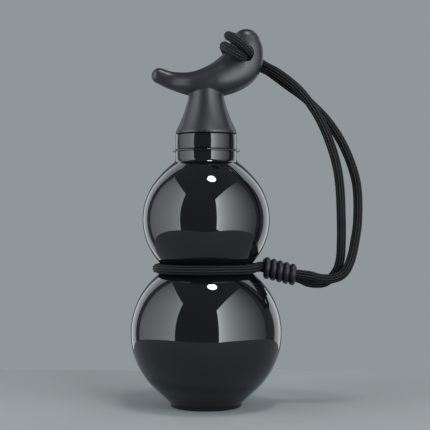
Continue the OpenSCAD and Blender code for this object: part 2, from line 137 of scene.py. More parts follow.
# %% Repeat the route
CORD = 5.6
HOLE_SIDE, HOLE_Z = 24.4, 213.8
LOOP, WAIST_Z = 29.91, 83.69
COIL_CENTRE = np.array([44.36, 0, 81.79])
COIL_SLOPE, COIL_ROLL = math.radians(14.3), math.radians(10)
PAIR_OFFSET = 2.9
coil_along = np.array([math.cos(COIL_SLOPE), 0, -math.sin(COIL_SLOPE)])
coil_up = np.array([math.sin(COIL_SLOPE), 0, math.cos(COIL_SLOPE)])
coil_long = math.cos(COIL_ROLL) * np.array([0, 1.0, 0]) - math.sin(COIL_ROLL) * coil_up
coil_short = math.cos(COIL_ROLL) * coil_up + math.sin(COIL_ROLL) * np.array([0, 1.0, 0])

HITCH = np.array([
    [14, 12.9, -6.7, 1], [9.9, 15, -3.9, 1], [5.7, 14.4, -1.1, 1], [2.7, 10.5, 0.3, 0.86],
    [1.9, 5.2, 0.8, 0.64], [1.8, 0, 0.7, 0.64], [1.5, -6.2, -0.2, 0.8], [0.9, -11.2, 0.0, 1],
    [-3.1, -12.0, 4.4, 1], [-7.1, -9, 7.6, 1], [-10, -5.3, 9.8, 1], [-11, -0.4, 11.2, 1],
    [-9.5, 4.5, 11.6, 1], [-6.1, 8.3, 11, 1], [-1.5, 10.1, 9.3, 1], [3.2, 10.2, 7, 1],
    [6.5, 9.2, 3.9, 1], [7.7, 8.8, -1.1, 1], [6.2, 9.7, -5.9, 1], [2.7, 11.2, -8.7, 1],
    [-2.3, 12.1, -8.1, 1], [-6.8, 11.8, -5.4, 1], [-9.7, 10.3, -1.8, 1], [-11.7, 7.4, 1.7, 1],
    [-13.3, 3.2, 4.4, 1], [-13.5, -1.9, 4.8, 1], [-12.1, -6.6, 3.4, 1], [-9.9, -10.7, 1.3, 1],
    [-5.6, -13.2, -1.7, 1], [-1.7, -11.2, -3.2, 0.5], [-1.3, -6.4, -2.7, 0.35], [-1.5, -1.4, -1.7, 0.5],
    [-1.6, 3.7, -0.7, 0.64], [-2.1, 8.9, -0.2, 0.68], [-2.5, 14, -0.6, 1], [0.6, 18.1, -1.7, 1],
    [4.9, 20.3, -3.7, 1], [9.7, 20.8, -5.7, 1], [14.1, 19.2, -8, 1]])
LEG_B = np.array([
    [43.6, 16.5, 201.7], [50.8, 13, 195.8], [58.1, 10.5, 190.2], [64.9, 8.5, 184], [74.1, 6.2, 174],
    [82.3, 5, 161.6], [88.7, 4.2, 146.9], [92.2, 3.6, 132.2], [92.4, 2.6, 112.7], [90.2, 1, 98.1],
    [87.6, -0.9, 88.3], [83.6, -2.7, 81.1], [77.7, -3.2, 77.8], [69.7, -3.6, 77.5], [63.1, -3.4, 79.2]])
LEG_A = np.array([
    [63.7, 4.2, 74.4], [72.6, 4.6, 74.8], [78.9, 3.7, 80.8], [81.5, 1.5, 88.3], [82, -1, 98.1],
    [81.9, -2.2, 112.7], [81.1, -2.4, 132], [79, -2.2, 146.6], [74.6, -1.5, 161.2], [69.4, 0, 173.5],
    [63.6, 1.6, 183.4], [57.6, 3.9, 191.5], [50.4, 7, 198.5], [43.3, 10.5, 204.1]])

def in_slider(ways, sides):
    """Points on the legs in the slider: centre + way along + side offset on the long way."""
    ways, sides = np.array(ways, float), np.array(sides, float)
    return COIL_CENTRE + ways[:, None] * coil_along + sides[:, None] * PAIR_OFFSET * coil_long

def at_waist(rows):
    """Points (angle, beyond, rise) on a circle of radius LOOP + beyond about the axis."""
    angle, beyond, rise = np.array(rows, float).T
    angle = np.radians(angle)
    return np.stack([(LOOP + beyond) * np.cos(angle), (LOOP + beyond) * np.sin(angle),
                     WAIST_Z + rise], -1)

strap_points = np.vstack([
    LEG_B, in_slider([14, 7, 0, -7], [-1.05, -1, -1, -1]) + [[0, 0, 1.0], [0, 0, 0.3], [0, 0, 0], [0, 0, 0]],
    at_waist([[-5.6, 4.1, 1.3], [-11.7, 1.6, 1.1], [-21.9, 0.7, 0.3], [-34, 0, 0]]),
    at_waist([[a, 0, 0] for a in range(-50, -311, -20)]),
    at_waist([[34, 0, 0], [21.9, 0.7, 0], [11.7, 1.6, 0.2], [5.6, 3.9, 0.3]]),
    in_slider([-7, 0, 7, 14], [1, 1, 1, 1.05]) - [[0, 0, 0], [0, 0, 0], [0, 0, 0.3], [0, 0, 1.0]], LEG_A])
hitch_points = HITCH * [1, 1, 1, CORD / 2] + [HOLE_SIDE, 0, HOLE_Z, 0]
route = np.vstack([hitch_points, np.c_[strap_points, np.full(len(strap_points), CORD / 2)]]) * MM
HITCH_COUNT = len(HITCH)
print("route points:", len(route))

# %% [markdown]
# ## A smooth curve and its frames
# A cubic through four neighbouring points gives a smooth curve that passes through each route
# point. Rings round that curve need a direction that doesn't twist. It starts square to the
# curve and each next one is the last one with the part along the curve taken away.

# %% Curve and frames
def smooth_curve(points, first, last, step):
    """Value of the cubic 0.5 (2b + (c-a)t + (2a-5b+4c-d)tt + (3b-a-3c+d)ttt) on the closed list
    points, from point first to point last, at even distances of about step metres."""
    i = np.arange(first, last)
    a, b, c, d = (points[(i + k) % len(points)][:, None, :] for k in (-1, 0, 1, 2))
    t = np.linspace(0, 1, 60, endpoint=False)[None, :, None]
    fine = 0.5 * (2 * b + (c - a) * t + (2 * a - 5 * b + 4 * c - d) * t**2
                  + (3 * b - a - 3 * c + d) * t**3)
    fine = np.vstack([fine.reshape(-1, points.shape[1]), points[last % len(points)]])
    run = np.concatenate([[0], np.cumsum(np.linalg.norm(np.diff(fine[:, :3], axis=0), axis=1))])
    even = np.linspace(0, run[-1], int(round(run[-1] / step)) + 1)
    return np.stack([np.interp(even, run, fine[:, k]) for k in range(points.shape[1])], -1), even

def frames(centres, start):
    """Unit vectors along the curve (differences of neighbours), and two square to it: the first
    is start with its part along the curve removed again at each point, so it never twists."""
    along = np.gradient(centres, axis=0)
    along /= np.linalg.norm(along, axis=1, keepdims=True)
    across = np.empty_like(along)
    n = np.asarray(start, float)
    for i, t in enumerate(along):
        n = n - t * (n @ t)
        n = n / np.linalg.norm(n)
        across[i] = n
    return along, across, np.cross(along, across)

def tube(name, centres, radii, sides, start=(0.1, 0.2, 1.0), relief=None, run=None, twist=0.0):
    """Ring point = centre + radius (cos a across + sin a up), a going round; relief(a, run) is
    added to the radius. The frame turns evenly by twist in all. A point closes each end."""
    along, across, up = frames(centres, start)
    turned = np.linspace(0, twist, len(centres))[:, None]
    across, up = (np.cos(turned) * across + np.sin(turned) * up,
                  np.cos(turned) * up - np.sin(turned) * across)
    a = np.linspace(0, 2 * np.pi, sides, endpoint=False)
    r = radii[:, None] + (relief(a[None, :], run[:, None]) if relief else 0)
    grid = (centres[:, None, :] + r[..., None]
            * (np.cos(a)[None, :, None] * across[:, None, :] + np.sin(a)[None, :, None] * up[:, None, :]))
    uv = None if run is None else (run, 2 * np.pi * float(radii.max()))
    return skin(name, grid, centres[0], centres[-1], uv=uv, sharp=60)

hitch_line, hitch_run = smooth_curve(route, 0, HITCH_COUNT - 1, 0.5 * MM)
strap_line, strap_run = smooth_curve(route, HITCH_COUNT - 1, len(route), 0.5 * MM)
print("hitch and strap lengths in mm:", round(hitch_run[-1] / MM, 1), round(strap_run[-1] / MM, 1))

# %% [markdown]
# ## The braid
# The strap is a tubular braid of about sixteen plaits. At this size the eye sees its plaits as
# lengthwise ribs that are broken into short stitches. The ribs are modelled as real relief, so
# that they catch light along their edges. The stitches are finer and are left to the material,
# as a bump and a painted glint.

# %% Make the strap
RIBS = 10
RIB_HEIGHT = 0.4 * MM

def braid_relief(a, run):
    """Rib height: -h (1 - sin(n a / 2)^2) with n ribs round, so furrows lie between ribs."""
    return -RIB_HEIGHT * (1 - np.sin(RIBS * a / 2) ** 2) + 0 * run

# the braid is softer than the model's stiff tube, so it fills the strap hole
hitch_radii = CORD / 2 * MM * (hitch_line[:, 3] / (CORD / 2 * MM)) ** 0.4
hitch_along, hitch_across, hitch_up = frames(hitch_line[:, :3], (0.1, 0.2, 1.0))
strap_across = frames(strap_line[:, :3], hitch_across[-1])[1]
miss = math.atan2(strap_across[-1] @ hitch_up[0], strap_across[-1] @ hitch_across[0])
rib = 2 * math.pi / RIBS
closing = rib * round(miss / rib) - miss
print("turn that joins the ribs, in degrees:", round(math.degrees(closing), 1))
hitch = tube("strap_hitch_braid", hitch_line[:, :3], hitch_radii + 0.05 * MM, 80,
             relief=braid_relief, run=hitch_run)
strap = tube("strap_legs_braid", strap_line[:, :3], strap_line[:, 3] + 0.05 * MM, 80,
             start=hitch_across[-1], relief=braid_relief, run=strap_run, twist=closing)
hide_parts("strap_hitch")
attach(hitch, "lid")
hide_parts("strap_cord")
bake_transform(strap)

# %% [markdown]
# ## The slider
# The slider is a soft rubber piece whose five rings are one tube wound round both legs. The
# track of one turn is a long round: two half circles round the two cords, joined by straights.

# %% Wind the slider
COIL_TURNS, COIL_PITCH, COIL_LEAD = 5, 4.0 * MM, 0.2
COIL_TUBE = 4.0 * MM
COIL_RADIUS = 4.2 * MM

def wound_track(turn):
    """Point at share u = turn mod 1 of a long round: half circles of COIL_RADIUS about the two
    cords at +-PAIR_OFFSET, joined by straights, walked at even speed."""
    offset = PAIR_OFFSET * MM
    arc, flat = math.pi * COIL_RADIUS / 2, 2 * offset
    d = (turn % 1.0) * (4 * arc + 2 * flat)
    walk = np.select(
        [d < arc, d < arc + flat, d < 3 * arc + flat, d < 3 * arc + 2 * flat],
        [d / arc * 90, 90 + 0 * d, 90 + (d - arc - flat) / arc * 90, 270 + 0 * d],
        270 + (d - 3 * arc - 2 * flat) / arc * 90)
    centre = np.select(
        [d < arc, d < arc + flat, d < 3 * arc + flat, d < 3 * arc + 2 * flat],
        [offset + 0 * d, offset - (d - arc), -offset + 0 * d,
         -offset + (d - 3 * arc - flat)], offset + 0 * d)
    angle = np.radians(walk)
    return centre + COIL_RADIUS * np.cos(angle), COIL_RADIUS * np.sin(angle)

turn = np.linspace(COIL_LEAD, COIL_TURNS - COIL_LEAD, 400)
long_way, short_way = wound_track(turn)
coil_line = (COIL_CENTRE * MM + (turn[:, None] - COIL_TURNS / 2) * COIL_PITCH * coil_along
             + long_way[:, None] * coil_long + short_way[:, None] * coil_short)
slider = tube("slider_rings", coil_line, np.full(len(turn), COIL_TUBE / 2), 24)
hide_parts("slider_coil")
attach(slider, "slider")

# %% [markdown]
# ## The bottle's body
# The body is blown from one piece of plastic: two round lobes, a narrow waist, a short neck with
# a support ring, and the finish that takes the thread. All of that is one outline turned about
# the axis. The outline is a chain of arcs, each given by its centre, its radius and two angles.

# %% Outline pieces
def arc(side, height, radius, start, end, count=24):
    """Points (side + radius cos a, height + radius sin a) for count angles a, in degrees."""
    a = np.radians(np.linspace(start, end, count))
    return np.stack([side + radius * np.cos(a), height + radius * np.sin(a)], -1)

def revolve(name, outline, segments=256, sharp=30, closed=False):
    """Surface of revolution: outline point (s, h) at angle a becomes (s cos a, s sin a, h). The
    first and last points lie on the axis and close it, or the outline is a loop if closed."""
    a = np.linspace(0, 2 * np.pi, segments, endpoint=False)
    body = outline if closed else outline[1:-1]
    grid = np.stack([body[:, None, 0] * np.cos(a), body[:, None, 0] * np.sin(a),
                     np.broadcast_to(body[:, None, 1], (len(body), segments))], -1) * MM
    ends = [None, None] if closed else [[0, 0, outline[0, 1] * MM], [0, 0, outline[-1, 1] * MM]]
    return skin(name, grid, ends[0], ends[1], ring=closed, sharp=sharp)

LOWER, LOWER_Z = 45.8, 44.6
UPPER, UPPER_Z = 38.6, 113.3
WAIST_BEND, NECK_BEND, SHOULDER = 3.0, 3.5, 60.0
BASE_ANGLE, SHOULDER_Z, NECK = 47.74, 137.0, 18.65
FOOT, FOOT_Z = 21.7, 2.9
RING, RING_TOP, RING_THICK = 20.45, 155.5, 1.2
FINISH, MOUTH, FINISH_TOP, WALL = 15.0, 13.0, 166.6, 1.8

gap = UPPER_Z - LOWER_Z
waist_up = ((LOWER + WAIST_BEND)**2 - (UPPER + WAIST_BEND)**2 + gap**2) / (2 * gap)
waist_z = LOWER_Z + waist_up
waist_side = math.sqrt((LOWER + WAIST_BEND)**2 - waist_up**2)
shoulder_sine = (SHOULDER_Z - UPPER_Z) / UPPER
shoulder_side = -(SHOULDER - UPPER) * math.sqrt(1 - shoulder_sine**2)
shoulder_centre = UPPER_Z - (SHOULDER - UPPER) * shoulder_sine
neck_side = NECK + NECK_BEND
neck_bend_z = shoulder_centre + math.sqrt((SHOULDER + NECK_BEND)**2 - (neck_side - shoulder_side)**2)

def body_outline(t):
    """Arcs from the base to the neck, moved inwards by t: lower lobe, waist, upper lobe,
    shoulder and the bend under the neck, each tangent to the next."""
    low = math.degrees(math.atan2(waist_up, waist_side))
    high = math.degrees(math.atan2(UPPER_Z - waist_z, waist_side))
    shoulder = math.degrees(math.asin(shoulder_sine))
    neck = math.degrees(math.atan2(neck_bend_z - shoulder_centre, neck_side - shoulder_side))
    return np.vstack([
        arc(0, LOWER_Z, LOWER - t, -BASE_ANGLE, low, 120),
        arc(waist_side, waist_z, WAIST_BEND + t, 180 + low, 180 - high, 24)[1:-1],
        arc(0, UPPER_Z, UPPER - t, -high, shoulder, 100),
        arc(shoulder_side, shoulder_centre, SHOULDER - t, shoulder, neck, 24)[1:-1],
        arc(neck_side, neck_bend_z, NECK_BEND + t, 180 + neck, 180, 14)])

print("waist height and radius in mm:", round(waist_z, 2), round(waist_side - WAIST_BEND, 2))

# %% Blow the bottle
outside = body_outline(0)
inside = body_outline(WALL)
base_side = outside[0, 0] - (outside[0, 1] - FOOT_Z) * math.tan(math.radians(BASE_ANGLE))
floor_side = inside[0, 0] - (inside[0, 1] - 3.6) * math.tan(math.radians(BASE_ANGLE))
ring_mid = RING_TOP - RING_THICK / 2
bottle_outline = np.vstack([
    [[0, 1.5], [14.0, 1.5], [17.0, 0.0]],
    arc(FOOT - 0.8, 0.8, 0.8, -90, 0, 8), [[base_side - 0.1, FOOT_Z - 0.25], [base_side + 0.3, FOOT_Z + 0.25]],
    outside, [[NECK, RING_TOP - RING_THICK]],
    arc(RING - 0.6, ring_mid, 0.6, -90, 90, 12), [[FINISH, RING_TOP]],
    [[FINISH, FINISH_TOP - 0.3], [FINISH - 0.3, FINISH_TOP], [MOUTH + 0.3, FINISH_TOP],
     [MOUTH, FINISH_TOP - 0.3], [MOUTH, RING_TOP - RING_THICK]],
    inside[::-1], [[floor_side, 3.6], [0, 3.6]]])
bottle = revolve("bottle_body", bottle_outline)
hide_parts("bottle_shell")
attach(bottle, "bottle")

# %% [markdown]
# ## Threads
# The finish carries a single thread with a pitch of 4 mm, and the collar has its partner half a
# pitch away, so the lid climbs 4 mm with each turn. Each thread is a ridge carried along a
# helix. Its height swells from nothing and dies away again at both ends.

# %% Cut the threads
PITCH = 4.0

def thread(name, wall, crest, start_z, turns, half_root, half_crest):
    """Ridge on a helix: at angle a its four corners lie at the wall and, scaled by a swell
    min(1, distance to the end / 30 degrees), at the crest, and rise pitch a / 360."""
    a = np.linspace(0, 360 * turns, int(72 * turns) + 1)
    swell = np.clip(np.minimum(a, a[-1] - a) / 30, 0.02, 1)[:, None]
    sink = 0.15 if crest > wall else -0.15
    side = np.hstack([np.full_like(swell, wall - sink), wall + (crest - wall) * swell,
                      wall + (crest - wall) * swell, np.full_like(swell, wall - sink)])
    lift = np.array([-half_root, -half_crest, half_crest, half_root]) * np.clip(swell * 1.5, 0, 1)
    z = start_z + PITCH * a[:, None] / 360 + lift
    t = np.radians(a)[:, None]
    grid = np.stack([side * np.cos(t), side * np.sin(t), z], -1) * MM
    if crest < wall:
        grid = grid[:, ::-1]
    return skin(name, grid, grid[0].mean(0), grid[-1].mean(0), sharp=40)

bottle_thread = thread("bottle_thread", FINISH, 16.25, 157.4, 1.4, 1.1, 0.45)
collar_thread = thread("collar_thread", 16.6, 15.35, 158.0, 1.25, 0.9, 0.35)
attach(bottle_thread, "bottle")
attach(collar_thread, "lid")

# %% [markdown]
# ## The collar
# Below the matte lid sits a glossy collar. It is the screw part of the lid: a skirt with the
# thread bore, and a plug on top that carries the lid's shell. A shadow gap parts the two.

# %% Turn the collar
FLARE, FLARE_SIDE, FLARE_Z = 87.0, 95.5, 207.1
LIP_TOP, LID_WALL, PLUG_GAP = 166.6, 1.9, 0.1
COLLAR, COLLAR_TOP, SHADOW_GAP, SEAT = 18.68, 164.6, 0.65, 16.9

def flare_side(z, wall=0.0):
    """Radius of the lid's hollow curve at height z: FLARE_SIDE - sqrt((FLARE + wall)^2 - dz^2)."""
    return FLARE_SIDE - np.sqrt((FLARE + wall)**2 - (FLARE_Z - np.asarray(z, float))**2)

seat_z = COLLAR_TOP + SHADOW_GAP
plug_top = 169.6
collar_outline = np.array([
    [16.6, 155.75], [COLLAR - 0.35, 155.75], [COLLAR - 0.1, 155.85], [COLLAR, 156.1],
    [COLLAR, COLLAR_TOP - 0.35], [COLLAR - 0.1, COLLAR_TOP - 0.1], [COLLAR - 0.35, COLLAR_TOP],
    [SEAT, COLLAR_TOP], [SEAT, seat_z], [float(flare_side(LIP_TOP, LID_WALL)) - PLUG_GAP, seat_z],
    [float(flare_side(LIP_TOP, LID_WALL)) - PLUG_GAP, LIP_TOP],
    [float(flare_side(plug_top, LID_WALL)) - 2 * PLUG_GAP, plug_top], [0.01, plug_top],
    [0.01, 167.8], [15.3, 167.8], [15.3, 163.9], [16.6, 163.9]])
collar = revolve("collar", collar_outline, closed=True, sharp=25)
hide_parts("inner_cap")
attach(collar, "lid")

# %% [markdown]
# ## The crescent
# The crescent is a loft. Its middle line runs through seven stations, and at each one an ellipse
# stands across it, with its own half height and half depth. Where the size changes along the
# line, the ring leans, so that the skin touches a row of balls of those sizes.

# %% Loft the crescent
CRESCENT = np.array([
    [-28.6, 200.6, 4.7, 4.6], [-19.8, 197.4, 5.5, 5.5], [-6.3, 195.7, 7.7, 10.3], [8.4, 198.8, 10.6, 11.3],
    [20.0, 206.1, 12.4, 9.5], [23.5, 214.2, 11.1, 8.7], [24.3, 220.4, 8.6, 6.75]])

def open_curve(points, count):
    """The same cubic as the strap's, on an open list: the two ends are mirrored outwards.
    Returns values and slopes at count steps a piece."""
    p = np.vstack([2 * points[0] - points[1], points, 2 * points[-1] - points[-2]])
    a, b, c, d = (p[k:len(p) - 3 + k][:, None, :] for k in range(4))
    t = np.linspace(0, 1, count, endpoint=False)[None, :, None]
    value = 0.5 * (2 * b + (c - a) * t + (2 * a - 5 * b + 4 * c - d) * t**2
                   + (3 * b - a - 3 * c + d) * t**3)
    slope = 0.5 * ((c - a) + 2 * (2 * a - 5 * b + 4 * c - d) * t + 3 * (3 * b - a - 3 * c + d) * t**2)
    last = 0.5 * (p[-1] - p[-3])
    return (np.vstack([value.reshape(-1, points.shape[1]), points[-1]]),
            np.vstack([slope.reshape(-1, points.shape[1]), last]))

def crescent_rings(sides=160, steps=28, cap=20):
    """Ring = centre + half height (s t + c cos a n) in the plane and half depth c sin a in Y,
    with s = -slope of the half height, c = sqrt(1 - s s). The end rings swing s to -1 and 1."""
    value, slope = open_curve(CRESCENT, steps)
    length = np.linalg.norm(slope[:, :2], axis=1)
    t = slope[:, :2] / length[:, None]
    s = -slope[:, 2] / length
    swing = np.sin(np.linspace(0, np.pi / 2, cap + 1))
    first = np.arange(cap, 0, -1)
    low = s[0] - (1 + s[0]) * swing[first]
    high = s[-1] + (1 - s[-1]) * swing[1:]
    value = np.vstack([np.repeat(value[:1], cap, 0), value, np.repeat(value[-1:], cap, 0)])
    t = np.vstack([np.repeat(t[:1], cap, 0), t, np.repeat(t[-1:], cap, 0)])
    s = np.concatenate([low, s, high])
    keep = slice(1, -1)
    value, t, s = value[keep], t[keep], s[keep]
    c = np.sqrt(np.clip(1 - s * s, 0, None))
    a = np.linspace(0, 2 * np.pi, sides, endpoint=False)
    side = value[:, None, 0] + value[:, None, 2] * (s[:, None] * t[:, None, 0] - c[:, None] * np.cos(a) * t[:, None, 1])
    height = value[:, None, 1] + value[:, None, 2] * (s[:, None] * t[:, None, 1] + c[:, None] * np.cos(a) * t[:, None, 0])
    depth = value[:, None, 3] * c[:, None] * np.sin(a)
    first_end = value[0, :2] - value[0, 2] * t[0]
    last_end = value[-1, :2] + value[-1, 2] * t[-1]
    return (np.stack([side, depth, height], -1) * MM,
            [first_end[0] * MM, 0, first_end[1] * MM], [last_end[0] * MM, 0, last_end[1] * MM])

rings, tip_end, top_end = crescent_rings()
crescent = skin("lid_crescent", rings, tip_end, top_end)

# %% [markdown]
# ## The strap hole and the cone
# The strap hole is bored through the crescent from front to back, with softly rounded edges. A
# boolean cut suits this better than a grid, because the hole follows neither direction of the
# loft. The cone below is one more outline turned about the axis, open and hollow underneath.

# %% Bore the hole and join the cone
HOLE, HOLE_ROUND, HOLE_HALF = 4.2, 1.4, 8.4

def hole_cutter():
    """Bore of radius HOLE along Y that widens by a quarter circle at both faces, then straight."""
    rim = arc(HOLE + HOLE_ROUND, HOLE_HALF - HOLE_ROUND, HOLE_ROUND, 180, 90, 10)
    half = np.vstack([rim, [[HOLE + HOLE_ROUND, 14.0]]])
    profile = np.vstack([half[::-1] * [1, -1], half])[::-1]
    a = np.linspace(0, 2 * np.pi, 96, endpoint=False)
    grid = np.stack([HOLE_SIDE + profile[:, None, 0] * np.cos(a),
                     np.broadcast_to(profile[:, None, 1], (len(profile), 96)),
                     HOLE_Z + profile[:, None, 0] * np.sin(a)], -1) * MM
    return skin("hole_cutter", grid, grid[0].mean(0), grid[-1].mean(0))

cone_z = np.linspace(LIP_TOP, 196.0, 90)
roof_z = np.linspace(179.0, LIP_TOP, 40)
lip = float(flare_side(LIP_TOP))
bore = float(flare_side(LIP_TOP, LID_WALL))
cone_outline = np.vstack([
    [[bore, seat_z], [lip - 0.3, seat_z], [lip - 0.08, seat_z + 0.08], [lip, seat_z + 0.3]],
    np.stack([flare_side(cone_z), cone_z], -1), [[0.01, 196.0], [0.01, 179.0]],
    np.stack([flare_side(roof_z, LID_WALL), roof_z], -1)])
cone = revolve("lid_cone", cone_outline, closed=True, sharp=25)

def cut(piece, cutter, operation):
    """Applies an exact boolean to piece's mesh and removes the cutter."""
    step = piece.modifiers.new("cut", "BOOLEAN")
    step.operation, step.solver, step.object = operation, "EXACT", cutter
    result = bpy.data.meshes.new_from_object(piece.evaluated_get(bpy.context.evaluated_depsgraph_get()))
    piece.modifiers.clear()
    piece.data = result
    bpy.data.objects.remove(cutter)
    print(f"{piece.name}: {len(result.polygons)} faces after {operation.lower()}")

def soften(piece, inner, outer, rounds):
    """Smooths the crease between cone and crescent. A point's weight is 1 within inner mm of
    both surfaces and falls to 0 at outer mm; each round moves it towards its neighbours."""
    mesh = piece.data
    points = np.empty(len(mesh.vertices) * 3)
    mesh.vertices.foreach_get("co", points)
    points = points.reshape(-1, 3) / MM
    side = np.hypot(points[:, 0], points[:, 1])
    to_cone = np.abs(side - flare_side(np.clip(points[:, 2], LIP_TOP, 200.0)))
    skin_points = rings.reshape(-1, 3) / MM
    to_crescent = np.full(len(points), 99.0)
    near = np.flatnonzero((to_cone < outer) & (points[:, 2] > 184) & (points[:, 2] < 197))
    for start in range(0, len(near), 500):
        some = near[start:start + 500]
        to_crescent[some] = np.sqrt(((points[some, None] - skin_points) ** 2).sum(-1).min(1))
    weight = np.clip((outer - np.maximum(to_cone, to_crescent)) / (outer - inner), 0, 1)
    group = piece.vertex_groups.new(name="crease")
    for value in np.unique(np.round(weight[near], 1)):
        if value > 0:
            group.add(near[np.round(weight[near], 1) == value].tolist(), float(value), "REPLACE")
    step = piece.modifiers.new("soften", "SMOOTH")
    step.factor, step.iterations, step.vertex_group = 0.5, rounds, group.name
    result = bpy.data.meshes.new_from_object(piece.evaluated_get(bpy.context.evaluated_depsgraph_get()))
    piece.modifiers.clear()
    piece.data = result
    print("softened points:", int((weight > 0).sum()))

cut(crescent, cone, "UNION")
soften(crescent, 1.6, 3.6, 40)
cut(crescent, hole_cutter(), "DIFFERENCE")
crescent.name = "lid_shell_matte"
crescent.data.shade_smooth()
crescent.data.set_sharp_from_angle(angle=math.radians(35))
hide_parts("lid_shell")
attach(crescent, "lid")

# %% [markdown]
# ## Colours and nodes
# Colours are written as the sRGB hex values a designer would use and turned to linear light in
# one place. One helper adds a node with its settings and its links.

# %% Material helpers
def linear(hex_colour):
    """sRGB hex to linear: c / 12.92 below 0.04045, else ((c + 0.055) / 1.055) ^ 2.4."""
    c = np.array([int(hex_colour[i:i + 2], 16) / 255 for i in (1, 3, 5)])
    c = np.where(c <= 0.04045, c / 12.92, ((c + 0.055) / 1.055) ** 2.4)
    return (*c.tolist(), 1.0)

def add(tree, kind, inputs=None, **settings):
    """Adds a node, sets its properties, then fills each input with a value or a link."""
    node = tree.nodes.new(kind)
    for key, value in settings.items():
        setattr(node, key, value)
    for key, value in (inputs or {}).items():
        if isinstance(value, bpy.types.NodeSocket):
            tree.links.new(value, node.inputs[key])
        else:
            node.inputs[key].default_value = value
    return node

def start_material(name, **values):
    """A material with one Principled shader whose named inputs are set; returns its parts."""
    material = bpy.data.materials.new(name)
    material.use_nodes = True
    tree = material.node_tree
    shader = tree.nodes["Principled BSDF"]
    for key, value in values.items():
        shader.inputs[key.replace("_", " ")].default_value = value
    return material, tree, shader

def dress(material, *pieces):
    for piece in pieces:
        piece.data.materials.clear()
        piece.data.materials.append(material)
    print(material.name, "on", [piece.name for piece in pieces])

# %% [markdown]
# ## Gloss black copolyester
# The body is blown copolyester, coloured right through. Its mould is polished, so the eye sees
# hardly any colour of its own, only sharp reflections, very slightly rippled by the blowing.

# %% Body and collar
gloss, tree, shader = start_material(
    "blown_copolyester_gloss_black", Base_Color=linear("#0b0c0e"), Roughness=0.03, IOR=1.55)
place = add(tree, "ShaderNodeTexCoord")
ripple = add(tree, "ShaderNodeTexNoise", {"Vector": place.outputs["Object"], "Scale": 45.0, "Detail": 1.0})
bump = add(tree, "ShaderNodeBump", {"Height": ripple.outputs["Fac"], "Strength": 0.04, "Distance": 0.0004})
tree.links.new(bump.outputs["Normal"], shader.inputs["Normal"])
dress(gloss, bottle, bottle_thread)

# Painted shade in the shadow gap: the collar's faces there are rough, as unpolished faces are, and are also given a
# darker black that hardly reflects, so the gap reads as a thin black line.
rough_painted_shade, tree, shader = start_material(
    "moulded_abs_rough_painted_shade", Base_Color=linear("#050505"), Roughness=0.9, Specular_IOR_Level=0.1)
collar_gloss, tree, shader = start_material(
    "moulded_abs_gloss_black", Base_Color=linear("#0c0c0d"), Roughness=0.09, IOR=1.52)
dress(collar_gloss, collar, collar_thread)
# Mask of the faces in the shadow gap that take the painted shade.
centres = np.empty(len(collar.data.polygons) * 3)
collar.data.polygons.foreach_get("center", centres)
centres = centres.reshape(-1, 3) / MM
in_gap = ((centres[:, 2] > COLLAR_TOP + 0.01) & (centres[:, 2] < seat_z + 0.01)
          & (np.hypot(centres[:, 0], centres[:, 1]) > SEAT - 0.2))
collar.data.materials.append(rough_painted_shade)
collar.data.polygons.foreach_set("material_index", in_gap.astype(np.int32))
print("unpolished faces in the shadow gap:", int(in_gap.sum()))

# %% [markdown]
# ## Matte soft-touch lid
# The lid's shell is moulded in a spark-eroded tool, which leaves a fine even grain. It scatters
# light, so highlights are broad and pale on a dark grey.

# %% Lid
matte, tree, shader = start_material(
    "moulded_pp_matte_dark_grey", Base_Color=linear("#151618"), Roughness=0.38, IOR=1.56)
place = add(tree, "ShaderNodeTexCoord")
grain = add(tree, "ShaderNodeTexNoise", {"Vector": place.outputs["Object"], "Scale": 2500.0, "Detail": 2.0})
bump = add(tree, "ShaderNodeBump", {"Height": grain.outputs["Fac"], "Strength": 0.15, "Distance": 0.0001})
tree.links.new(bump.outputs["Normal"], shader.inputs["Normal"])
weight = add(tree, "ShaderNodeLayerWeight", {"Blend": 0.5})
sheen = add(tree, "ShaderNodeMapRange", {
    "Value": weight.outputs["Facing"], "From Min": 0.3, "From Max": 0.8, "To Min": 0.5, "To Max": 0.08})
tree.links.new(sheen.outputs["Result"], shader.inputs["Specular IOR Level"])
dress(matte, crescent)

# %% [markdown]
# ## Braided polyester
# The strap's yarn is matt black polyester. Its stitches lie like bricks along each rib: the UV
# map runs in metres along and round the cord, so their size is real. The base colour carries
# painted light: a painted highlight along each rib top, brighter on each stitch, and painted
# shade in the furrows between the ribs.

# %% Strap
STITCH = 1.4 * MM
braid, tree, shader = start_material(
    "braided_polyester_black", Base_Color=linear("#0c0c0d"), Roughness=0.65,
    Specular_IOR_Level=0.12)
uv = add(tree, "ShaderNodeUVMap", uv_map="UVMap")
split = add(tree, "ShaderNodeSeparateXYZ", {0: uv.outputs["UV"]})
circumference = math.pi * 5.7 * MM
row = add(tree, "ShaderNodeMath", {0: split.outputs["Y"], 1: RIBS / circumference}, operation="MULTIPLY")
odd = add(tree, "ShaderNodeMath", {0: row.outputs[0], 1: 2.0}, operation="FLOORED_MODULO")
step = add(tree, "ShaderNodeMath", {0: odd.outputs[0], 1: 1.0}, operation="GREATER_THAN")
shift = add(tree, "ShaderNodeMath", {0: step.outputs[0], 1: math.pi}, operation="MULTIPLY")
run = add(tree, "ShaderNodeMath", {0: split.outputs["X"], 1: 2 * math.pi / STITCH, 2: shift.outputs[0]},
          operation="MULTIPLY_ADD")
wave = add(tree, "ShaderNodeMath", {0: run.outputs[0]}, operation="SINE")
bump = add(tree, "ShaderNodeBump", {"Height": wave.outputs[0], "Strength": 0.5, "Distance": 0.0001})
tree.links.new(bump.outputs["Normal"], shader.inputs["Normal"])
